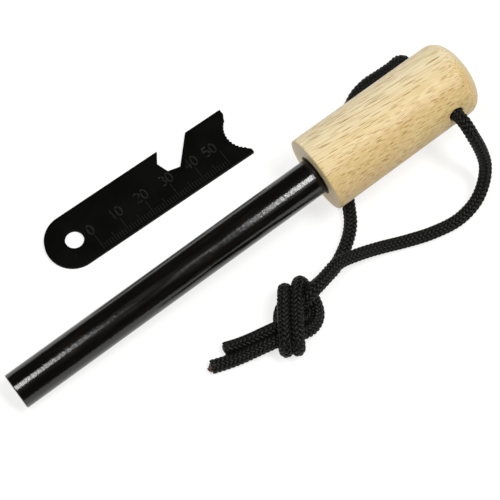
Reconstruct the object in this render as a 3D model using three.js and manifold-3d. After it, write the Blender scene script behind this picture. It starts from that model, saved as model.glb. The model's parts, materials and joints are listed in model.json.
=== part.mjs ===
// Ferro rod fire starter: a lacquered ferrocerium rod glued into a turned beech handle, a braided
// lanyard through the handle tied in an overhand knot, and a loose flat steel striker.
// Millimetres, +Z up, as the object lies on a table. +X runs along the rod from its tip to the
// handle. The origin is on the table, under the middle of the rod, handle and striker.

import * as THREE from 'three';
import { mergeVertices } from 'three/addons/utils/BufferGeometryUtils.js';
import Module from 'manifold-3d';

const wasm = await Module();
wasm.setup();

// Driving sizes of the rod
const rod_diameter = 12.5;
const rod_length = 150;
const rod_edge_break = 0.4;
const rod_glued_length = 32.8;

// Driving sizes of the adhesive, a thin cup round the hidden end of the rod
const glue_film = 0.3;
const glue_floor = 1.2;
const glue_gap = 0.2;

// Driving sizes of the handle
const handle_length = 59;
const handle_front_diameter = 26.4;
const handle_back_diameter = 26;
const handle_front_edge_break = 0.5;
const handle_end_round_length = 6.2;
const handle_end_round_width = 8.5;
const cord_hole_from_end = 11.8;
const cord_hole_clearance = 0.4;
const cord_hole_tilt = THREE.MathUtils.degToRad(17);

// Driving sizes of the striker
const striker_length = 75;
const striker_width = 18.8;
const striker_thickness = 1.8;
const striker_hole_diameter = 6.3;
const striker_hole_from_end = 10;
const striker_side_gap = 17.4;
const striker_behind_tip = 34.7;

// Driving sizes of the striker's opener notch, from its hanging hole and its middle line
const notch_lip = 39.3;
const notch_throat = 36.8;
const notch_throat_height = 5.7;
const notch_heel = 38.2;
const notch_heel_height = 1.6;
const notch_toe = 42.4;
const notch_toe_height = 0.5;
const notch_mouth_end = 50.7;

// Driving sizes of the striker's hollow scraping end
const scraper_radius = 8;
const scraper_depth = 4.5;
const scraper_drop = 0.55;
const scraper_horn_reach = 1.1;
const upper_horn_setback = 0.3;
const upper_horn_height = 7.3;
const lower_horn_height = 8.1;
const tooth_count = 12;
const tooth_depth = 0.4;

// Driving sizes of the lanyard
const cord_diameter = 4.2;
const knot_strand_diameter = 3.2;
const cord_end_gap = 0.3;
const cord_proud_of_handle = 0.6;
const cord_seat_gap = 0.3;
const cord_under_handle = 12;

// How finely round faces are divided
const rod_sides = 48;
const handle_sides = 72;
const hole_sides = 32;
const cord_sides = 10;
const knot_sides = 8;
const round_steps = 8;
const leg_steps = 22;
const knot_steps = 56;
const weld_distance = 0.0001;
const cut_overrun = 2;

// Sizes that follow from the driving sizes
const rod_radius = rod_diameter / 2;
const bare_rod_length = rod_length - rod_glued_length;
const glue_inner_radius = rod_radius + glue_gap;
const glue_outer_radius = glue_inner_radius + glue_film;
const bore_radius = glue_outer_radius + glue_gap;
const bore_depth = rod_glued_length + glue_gap + glue_floor + glue_gap;
const handle_front_radius = handle_front_diameter / 2;
const handle_back_radius = handle_back_diameter / 2;
const cord_radius = cord_diameter / 2;
const cord_hole_radius = cord_radius + cord_hole_clearance;
const cord_hole_place = bare_rod_length + handle_length - cord_hole_from_end;

// The handle's radius at a distance behind its front face
function handle_radius(behind_front) {
  return THREE.MathUtils.lerp(handle_front_radius, handle_back_radius, behind_front / handle_length);
}

// The rod's tip and the cord under the handle both rest on the table, which sets the slope
const cord_under_place = bare_rod_length + cord_under_handle;
let slope = 0;
for (let pass = 0; pass < round_steps; pass += 1) {
  const tip_height = rod_radius * Math.cos(slope) - rod_edge_break * Math.sin(slope);
  const axis_height = cord_diameter + cord_seat_gap + handle_radius(cord_under_handle) / Math.cos(slope);
  slope = Math.asin((axis_height - tip_height) / cord_under_place);
}
const rod_tip_height = rod_radius * Math.cos(slope) - rod_edge_break * Math.sin(slope);

// Solids and meshes

function to_solid(geometry) {
  const bare = new THREE.BufferGeometry();
  bare.setAttribute('position', geometry.attributes.position);
  bare.setIndex(geometry.index);
  const welded = mergeVertices(bare, weld_distance);
  const corners = welded.index.array;
  const kept = [];
  for (let i = 0; i < corners.length; i += 3) {
    const [a, b, c] = corners.slice(i, i + 3);
    if (a !== b && b !== c && c !== a) {
      kept.push(a, b, c);
    }
  }
  return new wasm.Manifold(new wasm.Mesh({
    numProp: 3,
    vertProperties: new Float32Array(welded.attributes.position.array),
    triVerts: new Uint32Array(kept),
  }));
}

function to_geometry(solid) {
  const mesh = solid.getMesh();
  const geometry = new THREE.BufferGeometry();
  geometry.setAttribute('position', new THREE.BufferAttribute(mesh.vertProperties, 3));
  geometry.setIndex(new THREE.BufferAttribute(mesh.triVerts, 1));
  return geometry;
}

function named_mesh(name, geometry, material) {
  const mesh = new THREE.Mesh(geometry, material);
  mesh.name = name;
  return mesh;
}

// A turned piece: a profile of points, each a radius and a place along +X
function turned(profile, sides) {
  const points = profile.map(([radius, along]) => new THREE.Vector2(radius, along));
  return new THREE.LatheGeometry(points, sides).rotateZ(-Math.PI / 2);
}

// Materials
const black_lacquer = new THREE.MeshStandardMaterial({ color: 0x15150f, roughness: 0.32, metalness: 0.1 });
const dark_epoxy = new THREE.MeshStandardMaterial({ color: 0x241c15, roughness: 0.35, metalness: 0 });
const lacquered_beech = new THREE.MeshStandardMaterial({ color: 0xe3cb98, roughness: 0.5, metalness: 0 });
const black_steel = new THREE.MeshStandardMaterial({ color: 0x11120f, roughness: 0.6, metalness: 0.3 });
const black_braid = new THREE.MeshStandardMaterial({ color: 0x0d0d0d, roughness: 0.9, metalness: 0 });

// Ferro rod: a plain bar with its edges just broken
function make_rod() {
  const shoulder = rod_radius - rod_edge_break;
  const profile = [
    [0, 0],
    [shoulder, 0],
    [rod_radius, rod_edge_break],
    [rod_radius, rod_length - rod_edge_break],
    [shoulder, rod_length],
    [0, rod_length],
  ];
  return named_mesh('ferro_rod', turned(profile, rod_sides), black_lacquer);
}

// Adhesive: the film between rod and bore, open at the handle's front face
function make_adhesive() {
  const rod_end = rod_length + glue_gap;
  const bore_floor = rod_end + glue_floor;
  const profile = [
    [0, rod_end],
    [glue_inner_radius, rod_end],
    [glue_inner_radius, bare_rod_length],
    [glue_outer_radius, bare_rod_length],
    [glue_outer_radius, bore_floor],
    [0, bore_floor],
  ];
  return named_mesh('rod_adhesive', turned(profile, rod_sides), dark_epoxy);
}

// Handle: a slight taper, a crisp front edge and a soft back end, with a blind bore for the rod
// and a cross hole for the cord
function make_handle() {
  const back_flat = handle_back_radius - handle_end_round_width;
  const round_start = handle_length - handle_end_round_length;
  const profile = [
    [0, 0],
    [handle_front_radius - handle_front_edge_break, 0],
    [handle_front_radius, handle_front_edge_break],
  ];
  for (let step = 0; step <= round_steps; step += 1) {
    const turn = (step / round_steps) * Math.PI / 2;
    profile.push([
      back_flat + handle_end_round_width * Math.cos(turn),
      round_start + handle_end_round_length * Math.sin(turn),
    ]);
  }
  profile.push([0, handle_length]);
  const blank = to_solid(turned(profile, handle_sides).translate(bare_rod_length, 0, 0));
  const bore_profile = [[0, -cut_overrun], [bore_radius, -cut_overrun], [bore_radius, bore_depth], [0, bore_depth]];
  const bore = to_solid(turned(bore_profile, rod_sides).translate(bare_rod_length, 0, 0));
  const hole_reach = Math.max(handle_front_diameter, handle_back_diameter) + cut_overrun;
  const hole = to_solid(new THREE.CylinderGeometry(cord_hole_radius, cord_hole_radius, hole_reach, hole_sides)
    .rotateX(-cord_hole_tilt)
    .translate(cord_hole_place, 0, 0));
  return named_mesh('handle', to_geometry(blank.subtract(bore).subtract(hole)), lacquered_beech);
}

// Lanyard stretch inside the handle, a little proud of both mouths
function make_cord_in_handle() {
  const reach = handle_radius(handle_length - cord_hole_from_end) + cord_proud_of_handle;
  const stretch = new THREE.CylinderGeometry(cord_radius, cord_radius, 2 * reach, cord_sides)
    .rotateX(-cord_hole_tilt)
    .translate(cord_hole_place, 0, 0);
  return named_mesh('lanyard_in_handle', stretch, black_braid);
}

// Striker: a plate with a full round end, an opener notch and a hollow toothed end
function striker_outline() {
  const half_width = striker_width / 2;
  const round_middle = half_width - striker_hole_from_end;
  const tip = striker_length - striker_hole_from_end;
  const upper_tip = tip - upper_horn_setback;
  const hollow_middle = tip - scraper_depth + scraper_radius;
  const horn_root = tip - scraper_horn_reach;
  const half_opening = Math.acos((hollow_middle - horn_root) / scraper_radius);
  const outline = new THREE.Shape();
  outline.moveTo(round_middle, half_width);
  outline.absarc(round_middle, 0, half_width, Math.PI / 2, Math.PI * 3 / 2, false);
  outline.lineTo(tip, -half_width);
  outline.lineTo(tip, -lower_horn_height);
  for (let notch = 0; notch <= 2 * tooth_count; notch += 1) {
    const is_tooth = notch % 2 === 1;
    const radius = scraper_radius - (is_tooth ? tooth_depth : 0);
    const turn = Math.PI + half_opening - (half_opening * notch) / tooth_count;
    outline.lineTo(hollow_middle + radius * Math.cos(turn), radius * Math.sin(turn) - scraper_drop);
  }
  outline.lineTo(upper_tip, upper_horn_height);
  outline.lineTo(upper_tip, half_width);
  outline.lineTo(notch_mouth_end, half_width);
  outline.lineTo(notch_toe, notch_toe_height);
  outline.lineTo(notch_heel, notch_heel_height);
  outline.lineTo(notch_throat, notch_throat_height);
  outline.lineTo(notch_lip, half_width);
  outline.closePath();
  const hanging_hole = new THREE.Path();
  hanging_hole.absarc(0, 0, striker_hole_diameter / 2, 0, Math.PI * 2, true);
  outline.holes.push(hanging_hole);
  return outline;
}

function make_striker() {
  const settings = { depth: striker_thickness, bevelEnabled: false, curveSegments: hole_sides };
  const plate = new THREE.ExtrudeGeometry(striker_outline(), settings);
  const striker = named_mesh('striker', plate, black_steel);
  const middle_line = rod_radius + striker_side_gap + striker_width / 2;
  striker.position.set(striker_behind_tip + striker_hole_from_end, middle_line, 0);
  return striker;
}

// Lanyard routes, from the rod's tip on the table: places along X, across Y and above the table.
// The near leg leaves the handle on the side with the knot and bows out before it comes back.
const near_leg_route = [
  [163.4, -13.3, 24.9],
  [163.3, -15.5, 25.6],
  [163.2, -17.7, 25.4],
  [163.2, -19.8, 24.4],
  [163.4, -21.6, 22.7],
  [163.8, -23.1, 20.6],
  [164.4, -25.4, 16.3],
  [164.2, -28.0, 11.6],
  [161.4, -31.2, 7.3],
  [156.2, -34.0, 4.2],
  [148.4, -35.2, 2.6],
  [139.2, -33.8, 2.2],
  [130.9, -31.2, 2.2],
  [121.7, -28.0, 3.1],
  [114.0, -26.3, 5.2],
];

// The far leg leaves on the hidden side, drops, and passes under the handle to the knot
const far_leg_route = [
  [164.1, 13.3, 16.8],
  [164.1, 14.9, 16.3],
  [163.7, 16.4, 15.1],
  [162.9, 17.3, 13.3],
  [161.5, 17.6, 11.4],
  [159.6, 18.2, 9.6],
  [157.0, 18.9, 7.6],
  [153.3, 19.8, 5.2],
  [148.4, 19.3, 3.3],
  [144.2, 17.2, 2.4],
  [140.0, 13.9, 2.2],
  [135.4, 9.0, 2.2],
  [131.0, 3.0, 2.2],
  [126.6, -3.8, 2.2],
  [123.0, -10.2, 2.2],
  [119.6, -15.6, 2.2],
  [114.8, -20.0, 2.3],
];

// The overhand knot, tied in both strands together, and the two tails: places to the right of the
// knot's middle, away from it and above the table, with the knot turned as a whole
const knot_place = [86, -28.5];
const knot_turn = THREE.MathUtils.degToRad(-36.3);
const near_knot_route = [
  [15.0, 14.7, 7.1],
  [12.0, 11.0, 8.1],
  [9.2, 7.2, 9.3],
  [7.1, 4.7, 9.6],
  [5.3, 2.7, 8.6],
  [3.6, 1.2, 7.0],
  [1.9, -0.1, 5.6],
  [0.5, -1.3, 4.1],
  [0.2, -3.5, 2.5],
  [0.9, -6.2, 2.1],
  [1.5, -9.6, 2.2],
  [1.9, -12.4, 3.3],
  [2.1, -13.6, 6.1],
  [2.0, -12.4, 8.8],
  [1.8, -9.6, 9.9],
  [1.6, -5.5, 10.0],
  [1.5, -1.5, 10.0],
  [1.6, 2.0, 10.0],
  [1.9, 5.1, 9.5],
  [2.4, 7.4, 8.1],
  [3.1, 8.5, 5.9],
  [4.3, 7.9, 3.4],
  [6.0, 6.0, 2.2],
  [7.5, 3.3, 2.2],
  [8.3, 0.3, 2.4],
  [8.1, -2.9, 3.1],
  [6.7, -5.8, 4.3],
  [4.1, -7.9, 5.4],
  [1.0, -8.9, 6.0],
  [-2.3, -9.9, 6.1],
  [-7.0, -11.8, 5.2],
  [-11.5, -13.6, 4.1],
  [-16.0, -15.4, 3.0],
  [-20.5, -17.0, 2.4],
  [-25.0, -18.4, 2.2],
];
const far_knot_route = [
  [14.2, 15.2, 2.6],
  [11.4, 11.5, 3.8],
  [8.8, 8.4, 5.4],
  [6.4, 6.3, 5.9],
  [4.0, 4.9, 5.8],
  [1.5, 3.9, 5.8],
  [-0.9, 2.2, 5.6],
  [-2.8, 0.2, 4.8],
  [-3.5, -2.0, 3.6],
  [-3.3, -4.7, 2.5],
  [-2.8, -7.5, 2.2],
  [-2.2, -10.2, 2.2],
  [-1.7, -12.9, 3.3],
  [-1.5, -14.0, 6.0],
  [-1.7, -12.9, 8.8],
  [-2.0, -10.0, 9.9],
  [-2.2, -6.0, 9.9],
  [-2.3, -2.4, 9.9],
  [-2.3, 1.2, 9.8],
  [-2.2, 4.1, 8.8],
  [-2.0, 5.9, 6.5],
  [-1.5, 5.6, 3.9],
  [0.2, 4.1, 2.2],
  [2.1, 2.6, 2.1],
  [3.8, 1.1, 2.2],
  [4.7, -0.5, 2.7],
  [4.5, -2.4, 3.7],
  [3.0, -4.0, 5.0],
  [0.4, -5.1, 6.0],
  [-3.3, -6.2, 6.0],
  [-8.0, -8.0, 5.0],
  [-12.5, -9.8, 3.8],
  [-16.8, -11.2, 2.7],
  [-21.0, -12.4, 2.2],
];

// Turns a place in the knot into a place on the table
function from_knot([right, away, up]) {
  const x = knot_place[0] + right * Math.cos(knot_turn) - away * Math.sin(knot_turn);
  const y = knot_place[1] + right * Math.sin(knot_turn) + away * Math.cos(knot_turn);
  return new THREE.Vector3(x, y, up);
}

// One strand of the lanyard, from the handle through the knot to its tail
function strand_route(leg_route, knot_route) {
  const leg = leg_route.map((place) => new THREE.Vector3(...place));
  const route = new THREE.CatmullRomCurve3([...leg, ...knot_route.map(from_knot)]);
  route.arcLengthDivisions = leg.length * knot_route.length;
  return route;
}

// The share of a strand's length at which its knot starts, at the given point of the route
function knot_start_share(route, leg_route) {
  const wanted = leg_route.length / (route.points.length - 1);
  const lengths = route.getLengths();
  return lengths[Math.round(wanted * (lengths.length - 1))] / route.getLength();
}

// A stretch of a longer curve, between two shares of its length
class Stretch extends THREE.Curve {
  constructor(whole, start_share, end_share) {
    super();
    this.whole = whole;
    this.start_share = start_share;
    this.end_share = end_share;
  }

  getPoint(t, target) {
    return this.whole.getPointAt(THREE.MathUtils.lerp(this.start_share, this.end_share, t), target);
  }
}

function cord_tube(path, diameter, sides, steps) {
  const section = new THREE.Shape();
  for (let side = 0; side < sides; side += 1) {
    const turn = (side / sides) * 2 * Math.PI;
    const corner = [(diameter / 2) * Math.cos(turn), (diameter / 2) * Math.sin(turn)];
    if (side === 0) {
      section.moveTo(...corner);
    } else {
      section.lineTo(...corner);
    }
  }
  section.closePath();
  return new THREE.ExtrudeGeometry(section, { steps, bevelEnabled: false, extrudePath: path });
}

function make_strand(name, leg_route, knot_route) {
  const route = strand_route(leg_route, knot_route);
  const half_gap_share = cord_end_gap / 2 / route.getLength();
  const knot_start = knot_start_share(route, leg_route);
  const leg = new Stretch(route, 0, knot_start - half_gap_share);
  const knot = new Stretch(route, knot_start + half_gap_share, 1);
  return [
    named_mesh(`lanyard_${name}_leg`, cord_tube(leg, cord_diameter, cord_sides, leg_steps), black_braid),
    named_mesh(`lanyard_${name}_knot`, cord_tube(knot, knot_strand_diameter, knot_sides, knot_steps), black_braid),
  ];
}

// The rod, its adhesive, the handle and the cord in it share one axis, which slopes up from the tip
const sloping = new THREE.Group();
sloping.add(make_rod(), make_adhesive(), make_handle(), make_cord_in_handle());
sloping.position.z = rod_tip_height;
sloping.rotation.y = -slope;

const striker = make_striker();

// The origin is under the middle of the rod, handle and striker, on the table
const fire_starter = new THREE.Group();
fire_starter.add(sloping, striker);
const hard_parts = new THREE.Box3().setFromObject(fire_starter, true);
const middle = hard_parts.getCenter(new THREE.Vector3());
fire_starter.add(...make_strand('near', near_leg_route, near_knot_route));
fire_starter.add(...make_strand('far', far_leg_route, far_knot_route));
fire_starter.position.set(-middle.x, -middle.y, -hard_parts.min.z);

export default fire_starter;
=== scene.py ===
import json
import math

import bmesh
import bpy
import numpy as np
from bpy.props import FloatProperty, IntProperty, PointerProperty, StringProperty
from mathutils import Matrix, Vector


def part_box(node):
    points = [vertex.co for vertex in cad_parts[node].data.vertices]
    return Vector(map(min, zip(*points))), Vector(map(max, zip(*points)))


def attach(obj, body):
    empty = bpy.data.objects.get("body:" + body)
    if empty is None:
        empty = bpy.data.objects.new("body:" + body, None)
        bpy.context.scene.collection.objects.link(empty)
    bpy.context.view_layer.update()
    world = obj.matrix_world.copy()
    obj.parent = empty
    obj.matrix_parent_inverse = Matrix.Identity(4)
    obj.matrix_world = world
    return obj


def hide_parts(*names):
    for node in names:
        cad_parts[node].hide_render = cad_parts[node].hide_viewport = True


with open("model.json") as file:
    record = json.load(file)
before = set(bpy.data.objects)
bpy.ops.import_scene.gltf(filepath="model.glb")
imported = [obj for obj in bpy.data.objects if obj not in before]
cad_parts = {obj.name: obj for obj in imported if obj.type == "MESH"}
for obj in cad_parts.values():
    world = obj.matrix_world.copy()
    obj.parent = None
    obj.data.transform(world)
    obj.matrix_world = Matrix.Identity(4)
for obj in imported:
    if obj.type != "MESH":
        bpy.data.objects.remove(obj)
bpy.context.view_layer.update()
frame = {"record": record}        # the record

bl_info = {
    "name": "Ferro Rod Fire Starter",
    "version": (1, 0, 0),
    "blender": (4, 5, 0),
    "location": "3D View > Sidebar > Fire Starter",
    "description": "Builds a ferro rod fire starter with its lanyard and striker",
    "category": "Add Mesh",
}

MM = 0.001
ROD_BODY = "rod_and_handle"
STRIKER_BODY = "striker"
SHARP_ANGLE = math.radians(32)


# Places and sizes that the frame gives

def mount_place(name):
    """The place of one of the record's mounts"""
    return Vector(next(m["pos_m"] for m in frame["record"]["mounts"] if m["name"] == name))


ROD_TIP = mount_place("rod_tip_face")
HANDLE_END = mount_place("handle_end_face")
ROD_AXIS = (HANDLE_END - ROD_TIP).normalized()
ROD_SIDE = Vector((0, 1, 0))
ROD_UP = ROD_AXIS.cross(ROD_SIDE)
ROD_SLOPE = math.asin(ROD_AXIS.z)
HANDLE_FRONT = (mount_place("handle_front_face") - ROD_TIP).dot(ROD_AXIS)
ROD_LOW, ROD_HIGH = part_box("ferro_rod")
HANDLE_LOW, HANDLE_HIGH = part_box("handle")
PLATE_LOW, PLATE_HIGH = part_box("striker")


# Sizes and colours that a user would change

class FireStarterLanyard(bpy.types.PropertyGroup):
    cord_diameter: FloatProperty(
        name="Cord Diameter", description="Across the braid where nothing squeezes it",
        default=4.2 * MM, precision=5, unit="LENGTH")
    knot_diameter: FloatProperty(
        name="Diameter in the Knot",
        description="Across the braid in the knot, before it is pressed flat there",
        default=4.4 * MM, precision=5, unit="LENGTH")
    braid_pitch: FloatProperty(
        name="Braid Pitch", description="Length of cord in which a yarn goes round once",
        default=11.8 * MM, precision=5, unit="LENGTH")
    yarns_each_way: IntProperty(
        name="Yarns Each Way", description="Yarns that wind one way, and as many the other way",
        default=8, min=4)
    yarn_width: FloatProperty(
        name="Yarn Width", description="Across one flattened yarn",
        default=0.98 * MM, precision=5, unit="LENGTH")
    yarn_thickness: FloatProperty(
        name="Yarn Thickness", description="Through one flattened yarn",
        default=0.62 * MM, precision=5, unit="LENGTH")
    colour: StringProperty(
        name="Yarn Colour", description="Black polyester, as sRGB hex", default="#070706")
    melt_colour: StringProperty(
        name="Melted Tip Colour", description="Scorched polyester, as sRGB hex", default="#5A2A1C")


class FireStarterRod(bpy.types.PropertyGroup):
    diameter: FloatProperty(
        name="Rod Diameter", description="Across the lacquered bar",
        default=ROD_HIGH.y - ROD_LOW.y, precision=5, unit="LENGTH")
    length: FloatProperty(
        name="Rod Length", description="The bare part and the part glued into the handle",
        default=150 * MM, precision=5, unit="LENGTH")
    edge_break: FloatProperty(
        name="Edge Break", description="How far the ends' edges are rounded",
        default=0.4 * MM, precision=5, unit="LENGTH")
    colour: StringProperty(
        name="Lacquer Colour", description="Black lacquer, as sRGB hex", default="#060504")
    glue_colour: StringProperty(
        name="Adhesive Colour", description="Dark set epoxy, as sRGB hex", default="#070504")


class FireStarterHandle(bpy.types.PropertyGroup):
    front_diameter: FloatProperty(
        name="Front Diameter", description="Across the handle at the rod's side",
        default=HANDLE_HIGH.y - HANDLE_LOW.y, precision=5, unit="LENGTH")
    back_diameter: FloatProperty(
        name="Back Diameter", description="Across the handle where its end round starts",
        default=26 * MM, precision=5, unit="LENGTH")
    end_round_length: FloatProperty(
        name="End Round Length", description="How far along the handle its end round reaches",
        default=6.2 * MM, precision=5, unit="LENGTH")
    end_round_width: FloatProperty(
        name="End Round Width", description="How far in from the side the end round reaches",
        default=8.5 * MM, precision=5, unit="LENGTH")
    edge_break: FloatProperty(
        name="Edge Break", description="How far the front edge is rounded",
        default=0.5 * MM, precision=5, unit="LENGTH")
    bore_diameter: FloatProperty(
        name="Bore Diameter", description="The hole for the rod and its adhesive",
        default=13.9 * MM, precision=5, unit="LENGTH")
    bore_depth: FloatProperty(
        name="Bore Depth", description="Depth of the hole for the rod",
        default=34.4 * MM, precision=5, unit="LENGTH")
    cord_hole_diameter: FloatProperty(
        name="Cord Hole Diameter", description="The cross hole for the lanyard",
        default=5.0 * MM, precision=5, unit="LENGTH")
    cord_hole_from_end: FloatProperty(
        name="Cord Hole From End", description="From the handle's end to the cross hole's middle",
        default=11.8 * MM, precision=5, unit="LENGTH")
    cord_hole_tilt: FloatProperty(
        name="Cord Hole Tilt", description="Turn of the cross hole about the handle's axis",
        default=math.radians(17), subtype="ANGLE")
    # The pale colour paints the pale fibres and the painted sheen on the handle's far side
    pale_colour: StringProperty(
        name="Pale Wood", description="Sapwood side of the beech, as sRGB hex", default="#E8D9B4")
    light_colour: StringProperty(
        name="Light Wood", description="Early wood of the beech, as sRGB hex", default="#D2B97E")
    warm_colour: StringProperty(
        name="Warm Wood", description="Late wood of the beech, as sRGB hex", default="#CEAF78")
    fleck_colour: StringProperty(
        name="Fleck Colour", description="Ray flecks of the beech, as sRGB hex", default="#90620A")
    end_colour: StringProperty(
        name="End Grain", description="Cut end grain of the beech, as sRGB hex", default="#CCB992")


class FireStarterStriker(bpy.types.PropertyGroup):
    length: FloatProperty(
        name="Length", description="From the round end to the horns",
        default=PLATE_HIGH.x - PLATE_LOW.x, precision=5, unit="LENGTH")
    width: FloatProperty(
        name="Width", description="Across the plate",
        default=PLATE_HIGH.y - PLATE_LOW.y, precision=5, unit="LENGTH")
    thickness: FloatProperty(
        name="Thickness", description="Through the plate",
        default=PLATE_HIGH.z - PLATE_LOW.z, precision=5, unit="LENGTH")
    hole_diameter: FloatProperty(
        name="Hole Diameter", description="The hanging hole",
        default=6.3 * MM, precision=5, unit="LENGTH")
    hole_from_end: FloatProperty(
        name="Hole From End", description="From the round end to the hanging hole's middle",
        default=10 * MM, precision=5, unit="LENGTH")
    edge_round: FloatProperty(
        name="Edge Round", description="How far the stamped edges are rounded",
        default=0.12 * MM, precision=5, unit="LENGTH")
    scraper_radius: FloatProperty(
        name="Scraper Radius", description="Radius of the hollow toothed end",
        default=8 * MM, precision=5, unit="LENGTH")
    tooth_count: IntProperty(
        name="Teeth", description="Teeth round the hollow end", default=12, min=2)
    tooth_depth: FloatProperty(
        name="Tooth Depth", description="How far a tooth stands out",
        default=0.4 * MM, precision=5, unit="LENGTH")
    tick_width: FloatProperty(
        name="Tick Width", description="Across a line of the ruler",
        default=0.19 * MM, precision=5, unit="LENGTH")
    number_width: FloatProperty(
        name="Number Stroke Width", description="Across a stroke of the ruler's numbers",
        default=0.55 * MM, precision=5, unit="LENGTH")
    groove_slope: FloatProperty(
        name="Groove Slope", description="Slope of the engraved lines' walls",
        default=math.radians(32), subtype="ANGLE")
    ruler_length: IntProperty(
        name="Ruler Length", description="Length of the ruler in millimetres",
        default=50, min=10, max=50)
    colour: StringProperty(
        name="Steel Colour", description="Blackened steel, as sRGB hex", default="#060605")
    groove_colour: StringProperty(
        name="Groove Colour", description="Floor of the engraved lines, as sRGB hex",
        default="#242522")


class FireStarterStage(bpy.types.PropertyGroup):
    floor_size: FloatProperty(
        name="Floor Size", description="Side of the floor", default=12.0, unit="LENGTH")
    floor_colour: StringProperty(
        name="Floor Colour", description="White card, as sRGB hex", default="#8E8E8C")
    light_distance: FloatProperty(
        name="Light Distance", description="From the object to each soft light",
        default=3.0, unit="LENGTH")
    left_brightness: FloatProperty(
        name="Left Light", description="Brightness of the soft box over the rod's tip, white card is 1",
        default=16.0, min=0)
    right_brightness: FloatProperty(
        name="Right Light", description="Brightness of the soft box towards the handle",
        default=24.0, min=0)
    skirt_brightness: FloatProperty(
        name="Skirt", description="Brightness of the right soft box's cloth skirt",
        default=0.7, min=0)
    end_brightness: FloatProperty(
        name="End Lights", description="Brightness of the two large panels past the rod's ends",
        default=0.9, min=0)
    room_brightness: FloatProperty(
        name="Room Brightness", description="Light that comes from all round", default=0.04, min=0)
    floor_glow: FloatProperty(
        name="Floor Glow", description="Light from the panel under the floor", default=0.74, min=0)


# Helpers for meshes and materials

def linear(hex_colour):
    """A colour given as sRGB hex, in the linear values that shaders take"""
    channels = [int(hex_colour[i:i + 2], 16) / 255 for i in (1, 3, 5)]
    return [c / 12.92 if c <= 0.04045 else ((c + 0.055) / 1.055) ** 2.4 for c in channels] + [1.0]


def add_node(tree, kind, inputs=None, **settings):
    """Adds a node with its settings and links. An input is a value, a socket to link, or a node, of
    which the first output in use is linked. It is given by name, or in a Mix node by number: 0 is the
    share, and 6 and 7 are the colours."""
    node = tree.nodes.new(kind)
    for name, value in settings.items():
        setattr(node, name, value)
    for socket, value in (inputs or {}).items():
        if isinstance(value, bpy.types.Node):
            value = next(output for output in value.outputs if output.enabled)
        if isinstance(value, bpy.types.NodeSocket):
            tree.links.new(value, node.inputs[socket])
        else:
            node.inputs[socket].default_value = value
    return node


def new_material(name):
    """An empty node material and its tree"""
    material = bpy.data.materials.new(name)
    material.use_nodes = True
    material.node_tree.nodes.clear()
    return material, material.node_tree


def make_piece(name, points, faces, materials, sharp_angle=SHARP_ANGLE):
    """A mesh piece with its faces turned outwards, smooth but for its sharp edges"""
    mesh = bpy.data.meshes.new(name)
    mesh.from_pydata([tuple(p) for p in points], [], [tuple(f) for f in faces])
    for material in materials:
        mesh.materials.append(material)
    shell = bmesh.new()
    shell.from_mesh(mesh)
    bmesh.ops.recalc_face_normals(shell, faces=shell.faces)
    shell.to_mesh(mesh)
    shell.free()
    smooth(mesh, sharp_angle)
    return link(name, mesh)


def link(name, mesh):
    """Puts a mesh into the scene as a piece"""
    piece = bpy.data.objects.new(name, mesh)
    bpy.context.scene.collection.objects.link(piece)
    return piece


def smooth(mesh, sharp_angle):
    """Shades a mesh smooth, with edges over the angle left sharp"""
    mesh.polygons.foreach_set("use_smooth", np.ones(len(mesh.polygons), bool))
    mesh.set_sharp_from_angle(angle=sharp_angle)
    mesh.update()


def along_rod(along, side, up):
    """A place on the rod's and handle's own axes, in the frame"""
    return ROD_TIP + ROD_AXIS * along + ROD_SIDE * side + ROD_UP * up


def arc(centre, radii, start, end, steps):
    """Places on an arc of a circle or an ellipse, with both ends"""
    turns = np.linspace(start, end, steps + 1)
    return [(centre[0] + radii[0] * math.cos(t), centre[1] + radii[1] * math.sin(t)) for t in turns]


def lathe(profile, sides, uneven=None, place=along_rod):
    """A closed turned shape, on the rod's axis unless place says otherwise. The profile's places are
    (along, radius)."""
    points = []
    rings = []
    for along, radius in profile:
        if radius <= 0:
            rings.append([len(points)] * sides)
            points.append(place(along, 0, 0))
            continue
        rings.append(range(len(points), len(points) + sides))
        for side in range(sides):
            turn = 2 * math.pi * side / sides
            out = radius + (uneven(along, turn) if uneven else 0)
            points.append(place(along, out * math.cos(turn), out * math.sin(turn)))
    faces = []
    for near, far in zip(rings, rings[1:]):
        for side in range(sides):
            after = (side + 1) % sides
            corners = [near[side], near[after], far[after], far[side]]
            faces.append(list(dict.fromkeys(corners)))
    return points, [f for f in faces if len(f) > 2]


def tube_faces(start, rings, sides):
    """The faces of a tube with closed ends, whose points are numbered ring by ring from start"""
    index = start + np.arange(rings * sides).reshape(rings, sides)
    after = np.roll(index, -1, axis=1)
    quads = np.stack([index[:-1], after[:-1], after[1:], index[1:]], axis=-1).reshape(-1, 4)
    return quads.tolist() + [index[0].tolist(), index[-1][::-1].tolist()]


def cut(piece, cutter, overlapping=False):
    """Cuts one closed piece by another and removes the cutter"""
    modifier = piece.modifiers.new("cut", "BOOLEAN")
    modifier.operation = "DIFFERENCE"
    modifier.solver = "EXACT"
    modifier.use_self = overlapping
    modifier.material_mode = "TRANSFER"
    modifier.object = cutter
    evaluated = piece.evaluated_get(bpy.context.evaluated_depsgraph_get())
    mesh = bpy.data.meshes.new_from_object(evaluated)
    if len(mesh.polygons) <= len(piece.data.polygons):
        raise RuntimeError(f"{piece.name} was not cut")
    piece.modifiers.clear()
    old = piece.data
    piece.data = mesh
    mesh.name = piece.name
    bpy.data.meshes.remove(old)
    bpy.data.objects.remove(cutter)


# Materials

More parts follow.
